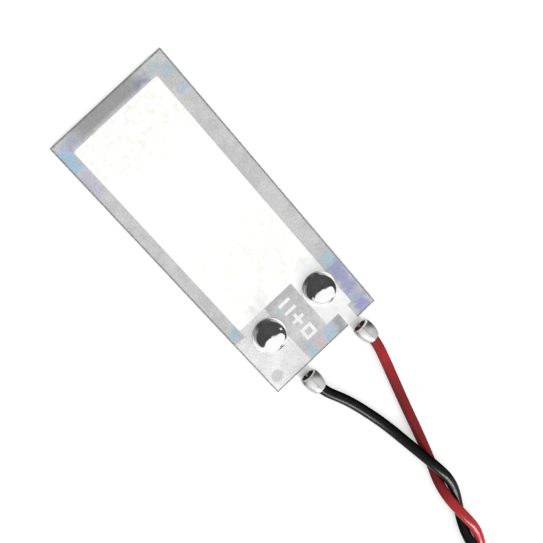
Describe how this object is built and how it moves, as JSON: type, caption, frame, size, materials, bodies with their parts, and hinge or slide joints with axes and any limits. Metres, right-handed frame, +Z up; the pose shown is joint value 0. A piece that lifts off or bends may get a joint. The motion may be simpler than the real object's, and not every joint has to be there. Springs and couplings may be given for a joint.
{
  "type": "piezo film sensor",
  "caption": "Laminated piezo film strip with printed silver electrodes, two domed rivets in crimp lugs, and a twisted pair of insulated leads put away in a coil.",
  "frame": {"origin": "on the surface it lies on, under the middle of the film and its lugs", "axes": "+X across the film, +Y along it towards the free end, +Z up through the layers; the leads leave towards -Y"},
  "size_m": [0.0222, 0.1234, 0.0086],
  "materials": {
    "polyester": "clear polyester sheet",
    "adhesive": "clear laminating adhesive",
    "piezo_film": "translucent grey polymer film, faintly iridescent",
    "silver_ink": "screen-printed silver ink, pale and matt",
    "tinned_brass": "bright tin plate",
    "tinned_copper": "tinned copper",
    "black_insulation": "glossy black insulation",
    "red_insulation": "glossy red insulation",
    "tie": "thin pale strap"
  },
  "bodies": {
    "root": {"polyester_backing": "polyester", "adhesive_layer": "adhesive", "lower_electrode": "silver_ink", "piezo_film": "piezo_film", "upper_electrode": "silver_ink", "printed_marks": "silver_ink", "rivet_black": "tinned_brass", "rivet_red": "tinned_brass", "lug_black": "tinned_brass", "lug_red": "tinned_brass", "core_black": "tinned_copper", "core_red": "tinned_copper", "wire_black": "black_insulation", "wire_end_black": "black_insulation", "wire_red": "red_insulation", "wire_end_red": "red_insulation", "tip_black": "tinned_copper", "tip_red": "tinned_copper", "lead_coil": "black_insulation", "coil_tie": "tie"}
  },
  "joints": []
}
